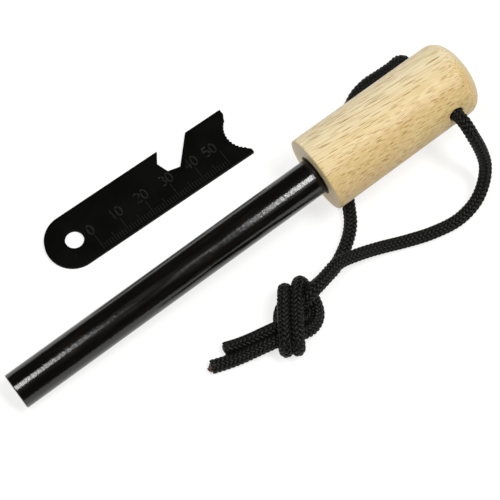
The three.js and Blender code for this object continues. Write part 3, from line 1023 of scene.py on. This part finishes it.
def add_lanyard(settings, handle):
    """Both strands with their tails"""
    hole_along = (HANDLE_END - ROD_TIP).length - handle.cord_hole_from_end
    hole_middle = np.array(along_rod(hole_along, 0, 0))
    near = Strand("lanyard_near_strand", hole_middle, NEAR_LEG_ROUTE, NEAR_KNOT_ROUTE, settings)
    far = Strand("lanyard_far_strand", hole_middle, FAR_LEG_ROUTE, FAR_KNOT_ROUTE, settings)
    yarn = braided_polyester(settings)
    melt = melted_polyester(settings)
    near_frays = [(2.4, 0.5, 1.4 * MM), (2.7, 0.8, 1.1 * MM), (3.1, 0.4, 1.2 * MM)]
    near_tail = sealed_tail(near, "lanyard_near_tail", length=1.1 * MM, flare=0.02, hollow=0.6,
                            scorch=1.0, frays=near_frays, material=melt)
    far_tail = sealed_tail(far, "lanyard_far_tail", length=0.7 * MM, flare=0.06, hollow=0.15,
                           scorch=0.15, frays=[], material=melt)
    for strand, tail, nodes in (
            (near, near_tail, ("lanyard_near_leg", "lanyard_near_knot", "lanyard_in_handle")),
            (far, far_tail, ("lanyard_far_leg", "lanyard_far_knot"))):
        piece = strand_piece(strand, (near, far), settings, yarn)
        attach(piece, ROD_BODY)
        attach(tail, ROD_BODY)
        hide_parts(*nodes)
        strand.length()


def add_rod(settings):
    """The lacquered bar with its softly broken edges"""
    radius = settings.diameter / 2
    edge = settings.edge_break
    quarter = math.pi / 2
    profile = [(0, 0), (0, 0.5 * radius)]
    profile += arc((edge, radius - edge), (edge, edge), 2 * quarter, quarter, 6)
    profile += arc((settings.length - edge, radius - edge), (edge, edge), quarter, 0, 6)
    profile += [(settings.length, 0)]
    points, faces = lathe(profile, 128)
    rod = make_piece("rod", points, faces, [black_lacquer(settings)])
    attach(rod, ROD_BODY)
    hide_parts("ferro_rod")


def add_adhesive(settings, handle):
    """The cup of epoxy round the rod's hidden end, with a fillet where it meets the light"""
    film = 0.04 * MM
    climb = 0.6 * MM
    spread = 0.12 * MM
    mouth = 0.3 * MM
    waves = ((0.04 * MM, 3, 1), (0.03 * MM, 7, 0))
    sharp_angle = math.radians(50)
    rod_radius = settings.diameter / 2
    bore_radius = handle.bore_diameter / 2
    end = HANDLE_FRONT + handle.bore_depth - 5 * film
    rod_end = settings.length + film
    fillet_foot = HANDLE_FRONT - climb
    profile = [(rod_end, 0), (rod_end, rod_radius + film / 2), (fillet_foot, rod_radius + film / 2)]
    profile += arc((fillet_foot, bore_radius + spread),
                   (climb - film, bore_radius + spread - rod_radius - film),
                   -math.pi / 2, 0, 8)
    profile += [(HANDLE_FRONT + 6 * film, bore_radius + spread - film),
                (HANDLE_FRONT + 12 * film, bore_radius - film), (end, bore_radius - film), (end, 0)]

    def uneven(along, turn):
        """How far the ring stands out where it spread on the handle's front"""
        if abs(along - HANDLE_FRONT) >= mouth:
            return 0
        return sum(height * math.sin(count * turn + start) for height, count, start in waves)

    points, faces = lathe(profile, 96, uneven)
    ring = make_piece("adhesive_ring", points, faces, [dark_epoxy(settings)], sharp_angle)
    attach(ring, ROD_BODY)
    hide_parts("rod_adhesive")


def add_handle(settings):
    """The turned handle, with its bore, its soft end and its cross hole"""
    length = (HANDLE_END - ROD_TIP).length - HANDLE_FRONT
    front, back = settings.front_diameter / 2, settings.back_diameter / 2
    edge = settings.edge_break
    bore, depth = settings.bore_diameter / 2, settings.bore_depth
    bore_ease = 0.1 * MM
    taper_rings = 60
    quarter = math.pi / 2
    profile = [(depth, 0), (depth, bore), (0.5 * depth, bore)]
    profile += arc((bore_ease, bore + bore_ease), (bore_ease, bore_ease), -quarter, -2 * quarter, 4)
    profile += arc((edge, front - edge), (edge, edge), 2 * quarter, quarter, 6)
    round_start = length - settings.end_round_length
    profile += [(edge + (round_start - edge) * ring / taper_rings,
                 front + (back - front) * ring / taper_rings) for ring in range(1, taper_rings)]
    profile += arc((round_start, back - settings.end_round_width),
                   (settings.end_round_length, settings.end_round_width), quarter, 0, 18)
    profile += [(length, 0)]
    points, faces = lathe([(HANDLE_FRONT + along, radius) for along, radius in profile], 160)
    wood = lacquered_beech(settings)
    handle = make_piece("beech_handle", points, faces, [wood])
    cut(handle, hole_cutter(settings, length, back, wood))
    smooth(handle.data, SHARP_ANGLE)
    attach(handle, ROD_BODY)
    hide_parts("handle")


def hole_cutter(settings, length, surface, material):
    """The cross hole with its mouths eased, as a closed shape to cut with. Beyond the eased edge it
    flares on, past the wood's surface."""
    radius = settings.cord_hole_diameter / 2
    ease = 0.45 * MM
    flare, widest_flare = 1.15 * ease, 1.6 * ease
    inset = 0.1 * MM
    overrun = 2 * MM
    outer = [(surface + overrun, 0), (surface + overrun, radius + widest_flare),
             (surface, radius + flare)]
    outer += [(surface - ease * (1 - math.cos(turn)) - inset, radius + ease * (1 - math.sin(turn)))
              for turn in np.linspace(0, math.pi / 2, 6)]
    profile = outer + [(-along, wide) for along, wide in reversed(outer)]
    middle = along_rod(HANDLE_FRONT + length - settings.cord_hole_from_end, 0, 0)
    tilt = settings.cord_hole_tilt
    axis = ROD_SIDE * math.cos(tilt) - ROD_UP * math.sin(tilt)
    other = ROD_AXIS.cross(axis)
    points, faces = lathe(profile, 64, place=lambda along, side, up: (
        middle + axis * along + ROD_AXIS * side + other * up))
    return make_piece("hole_cutter", points, faces, [material])


# The striker. Its places are measured from its hanging hole, along the plate and across it.

def striker_outline(settings):
    """The plate's edge, from the round end by the lower side and the toothed end to the notch"""
    half = settings.width / 2
    round_middle = half - settings.hole_from_end
    tip = settings.length - settings.hole_from_end
    lower_horn, upper_horn, upper_setback = -8.1 * MM, 7.3 * MM, 0.3 * MM
    depth, drop, horn_reach = 4.5 * MM, 0.55 * MM, 1.1 * MM
    hollow_middle = tip - depth + settings.scraper_radius
    opening = math.acos((hollow_middle - tip + horn_reach) / settings.scraper_radius)
    outline = arc((round_middle, 0), (half, half), math.pi / 2, 3 * math.pi / 2, 48)
    outline += [(tip, -half), (tip, lower_horn)]
    steps = 2 * settings.tooth_count
    for step in range(steps + 1):
        radius = settings.scraper_radius - (settings.tooth_depth if step % 2 else 0)
        turn = math.pi + opening - 2 * opening * step / steps
        outline.append((hollow_middle + radius * math.cos(turn), radius * math.sin(turn) - drop))
    outline += [(tip - upper_setback, upper_horn), (tip - upper_setback, half)]

    # The notch's corners in millimetres, along the plate and across it, from edge to edge
    edge = half / MM
    notch = [(50.7, edge), (42.4, 0.5), (38.2, 1.6), (36.8, 5.7), (39.3, edge)]
    return outline + [(along * MM, across * MM) for along, across in notch]


def add_striker(settings):
    """The stamped plate with its hanging hole, notch, toothed end and engraved ruler"""
    sharp_angle = math.radians(25)
    outline = striker_outline(settings)
    hole = arc((0, 0), (settings.hole_diameter / 2,) * 2, 0, 2 * math.pi, 64)[:-1]
    origin = Vector((PLATE_LOW.x + settings.hole_from_end, (PLATE_LOW.y + PLATE_HIGH.y) / 2, PLATE_LOW.z))

    # Both faces are filled between the outline and the hole, joined by walls, and made one polygon each
    plate = bmesh.new()
    levels = []
    for height in (0, settings.thickness):
        loops = []
        for loop in (outline, hole):
            corners = [plate.verts.new(origin + Vector((x, y, height))) for x, y in loop]
            edges = [plate.edges.new((corners[i], corners[(i + 1) % len(corners)]))
                     for i in range(len(corners))]
            loops.append((corners, edges))
        bmesh.ops.triangle_fill(plate, edges=loops[0][1] + loops[1][1], use_beauty=True)
        levels.append(loops)
    rims = []
    for (low, low_edges), (high, high_edges) in zip(*levels):
        rims += low_edges + high_edges
        for i in range(len(low)):
            after = (i + 1) % len(low)
            plate.faces.new((low[i], low[after], high[after], high[i]))
    bmesh.ops.dissolve_limit(plate, angle_limit=math.radians(1), verts=plate.verts,
                             edges=[e for e in plate.edges if e not in set(rims)], delimit=set())
    bmesh.ops.recalc_face_normals(plate, faces=plate.faces)
    bmesh.ops.bevel(plate, geom=rims, offset=settings.edge_round, segments=2, profile=0.5,
                    affect="EDGES", clamp_overlap=True)
    mesh = bpy.data.meshes.new("striker_plate")
    plate.to_mesh(mesh)
    plate.free()
    mesh.materials.append(blackened_steel(settings))
    piece = link("striker_plate", mesh)
    cut(piece, ruler_cutter(settings, origin, engraved_steel(settings)), overlapping=True)
    smooth(piece.data, sharp_angle)
    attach(piece, STRIKER_BODY)
    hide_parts("striker")


# Each number's strokes, in shares of its height, and whether a stroke closes on itself
DIGIT_STROKES = {
    "0": [(arc((0, 0), (0.27, 0.5), 0, 2 * math.pi, 20)[:-1], True)],
    "1": [([(-0.17, 0.28), (0.03, 0.5), (0.03, -0.5)], False)],
    "2": [([*arc((0, 0.23), (0.27, 0.27), math.radians(160), math.radians(-35), 8),
            (-0.28, -0.5), (0.29, -0.5)], False)],
    "3": [([*arc((-0.01, 0.25), (0.25, 0.25), math.radians(150), math.radians(-75), 8),
            *arc((-0.01, -0.22), (0.28, 0.28), math.radians(75), math.radians(-150), 9)], False)],
    "4": [([(0.12, -0.5), (0.12, 0.5), (-0.3, -0.2), (0.32, -0.2)], False)],
    "5": [([(0.25, 0.5), (-0.2, 0.5), (-0.25, 0.07),
            *arc((-0.01, -0.19), (0.3, 0.31), math.radians(125), math.radians(-150), 9)], False)],
}


def groove(path, closed, width, slope, top):
    """A three-sided bar along a path, to cut a V-shaped line with. It is wider where the path turns, as
    a mitre is, up to a limit."""
    rise = 0.05 * MM
    least_cosine, widest = 0.3, 1.8
    path = np.array(path)
    count = len(path)
    before, after = np.roll(path, 1, axis=0), np.roll(path, -1, axis=0)
    if not closed:
        before[0], after[-1] = 2 * path[0] - path[1], 2 * path[-1] - path[-2]
    into, out_of = unit(path - before), unit(after - path)
    run = unit(into + out_of)
    left = np.stack([-run[:, 1], run[:, 0]], axis=1)
    mitre = np.minimum(1 / np.maximum((into * run).sum(axis=1), least_cosine), widest)
    depth = width / 2 * math.tan(slope)
    half = width / 2 + rise / math.tan(slope)
    points = []
    for place, aside, wider in zip(path, left, mitre):
        for offset, height in ((half * wider, rise), (-half * wider, rise), (0, -depth)):
            points.append((*(place + aside * offset), top + height))
    faces = []
    for i in range(count if closed else count - 1):
        j = (i + 1) % count
        for side in range(3):
            other = (side + 1) % 3
            faces.append((3 * i + side, 3 * i + other, 3 * j + other, 3 * j + side))
    if not closed:
        faces += [(0, 1, 2), (3 * count - 1, 3 * count - 2, 3 * count - 3)]
    return points, faces


def ruler_cutter(settings, origin, material):
    """The ruler's ticks and plain numbers, as closed bars to cut with"""
    first_tick, tick_foot = 6.05 * MM, -8.6 * MM
    long_tick, middle_tick, short_tick = 6.0 * MM, 3.5 * MM, 2.1 * MM
    number_height, number_middle, digit_step = 3.3 * MM, -0.45 * MM, 2.5 * MM
    number_shift, last_number_shift = 0.15 * MM, 2.7 * MM
    strokes = []
    for mark in range(settings.ruler_length + 1):
        x = first_tick + mark * MM
        reach = long_tick if mark % 10 == 0 else middle_tick if mark % 5 == 0 else short_tick
        strokes.append(([(x, tick_foot), (x, tick_foot + reach)], False, settings.tick_width))
    for mark in range(0, settings.ruler_length + 1, 10):
        text = str(mark)
        shift = last_number_shift if mark == settings.ruler_length else number_shift
        for place, digit in enumerate(text):
            x = first_tick + mark * MM - shift + (place - (len(text) - 1) / 2) * digit_step
            for stroke, closed in DIGIT_STROKES[digit]:
                strokes.append(([(x + u * number_height, number_middle + v * number_height)
                                 for u, v in stroke], closed, settings.number_width))
    points, faces = [], []
    for path, closed, width in strokes:
        bar_points, bar_faces = groove(path, closed, width, settings.groove_slope, settings.thickness)
        faces += [tuple(len(points) + corner for corner in face) for face in bar_faces]
        points += [origin + Vector(p) for p in bar_points]
    return make_piece("ruler_cutter", points, faces, [material])


# Operators, the panel and the add-on's entry points

class FIRESTARTER_OT_camera(bpy.types.Operator):
    """Add the camera at the viewing angle of the set"""
    bl_idname = "fire_starter.add_camera"
    bl_label = "Add Camera"

    def execute(self, context):
        add_camera()
        return {"FINISHED"}


class FIRESTARTER_OT_lanyard(bpy.types.Operator):
    """Add both strands of the braided lanyard, with the knot and the sealed tails"""
    bl_idname = "fire_starter.add_lanyard"
    bl_label = "Add Lanyard"

    def execute(self, context):
        add_lanyard(context.scene.fire_starter_lanyard, context.scene.fire_starter_handle)
        return {"FINISHED"}


class FIRESTARTER_OT_rod(bpy.types.Operator):
    """Add the lacquered ferrocerium rod"""
    bl_idname = "fire_starter.add_rod"
    bl_label = "Add Rod"

    def execute(self, context):
        add_rod(context.scene.fire_starter_rod)
        return {"FINISHED"}


class FIRESTARTER_OT_adhesive(bpy.types.Operator):
    """Add the ring of epoxy between the rod and the handle"""
    bl_idname = "fire_starter.add_adhesive"
    bl_label = "Add Adhesive"

    def execute(self, context):
        add_adhesive(context.scene.fire_starter_rod, context.scene.fire_starter_handle)
        return {"FINISHED"}


class FIRESTARTER_OT_handle(bpy.types.Operator):
    """Add the turned beech handle with its bore and cross hole"""
    bl_idname = "fire_starter.add_handle"
    bl_label = "Add Handle"

    def execute(self, context):
        add_handle(context.scene.fire_starter_handle)
        return {"FINISHED"}


class FIRESTARTER_OT_striker(bpy.types.Operator):
    """Add the steel striker with its ruler, notch and toothed end"""
    bl_idname = "fire_starter.add_striker"
    bl_label = "Add Striker"

    def execute(self, context):
        add_striker(context.scene.fire_starter_striker)
        return {"FINISHED"}


class FIRESTARTER_OT_stage(bpy.types.Operator):
    """Add the plain floor, the soft lights and the room"""
    bl_idname = "fire_starter.add_stage"
    bl_label = "Add Stage"

    def execute(self, context):
        add_stage(context.scene.fire_starter_stage)
        return {"FINISHED"}


class VIEW3D_PT_fire_starter(bpy.types.Panel):
    bl_label = "Fire Starter"
    bl_space_type = "VIEW_3D"
    bl_region_type = "UI"
    bl_category = "Fire Starter"

    def draw(self, context):
        for operator in OPERATORS:
            self.layout.operator(operator.bl_idname)
        for group in PROPERTY_GROUPS:
            box = self.layout.box()
            for name in PROPERTY_GROUPS[group].__annotations__:
                box.prop(getattr(context.scene, group), name)


PROPERTY_GROUPS = {
    "fire_starter_lanyard": FireStarterLanyard,
    "fire_starter_rod": FireStarterRod,
    "fire_starter_handle": FireStarterHandle,
    "fire_starter_striker": FireStarterStriker,
    "fire_starter_stage": FireStarterStage,
}
OPERATORS = (
    FIRESTARTER_OT_camera,
    FIRESTARTER_OT_lanyard,
    FIRESTARTER_OT_rod,
    FIRESTARTER_OT_adhesive,
    FIRESTARTER_OT_handle,
    FIRESTARTER_OT_striker,
    FIRESTARTER_OT_stage,
)


def register():
    for group, kind in PROPERTY_GROUPS.items():
        bpy.utils.register_class(kind)
        setattr(bpy.types.Scene, group, PointerProperty(type=kind))
    for kind in (*OPERATORS, VIEW3D_PT_fire_starter):
        bpy.utils.register_class(kind)


def unregister():
    for kind in reversed((*OPERATORS, VIEW3D_PT_fire_starter)):
        bpy.utils.unregister_class(kind)
    for group, kind in reversed(PROPERTY_GROUPS.items()):
        delattr(bpy.types.Scene, group)
        bpy.utils.unregister_class(kind)


def main():
    register()
    bpy.ops.fire_starter.add_camera()
    bpy.ops.fire_starter.add_lanyard()
    bpy.ops.fire_starter.add_rod()
    bpy.ops.fire_starter.add_adhesive()
    bpy.ops.fire_starter.add_handle()
    bpy.ops.fire_starter.add_striker()
    bpy.ops.fire_starter.add_stage()


if __name__ == "__main__":
    main()
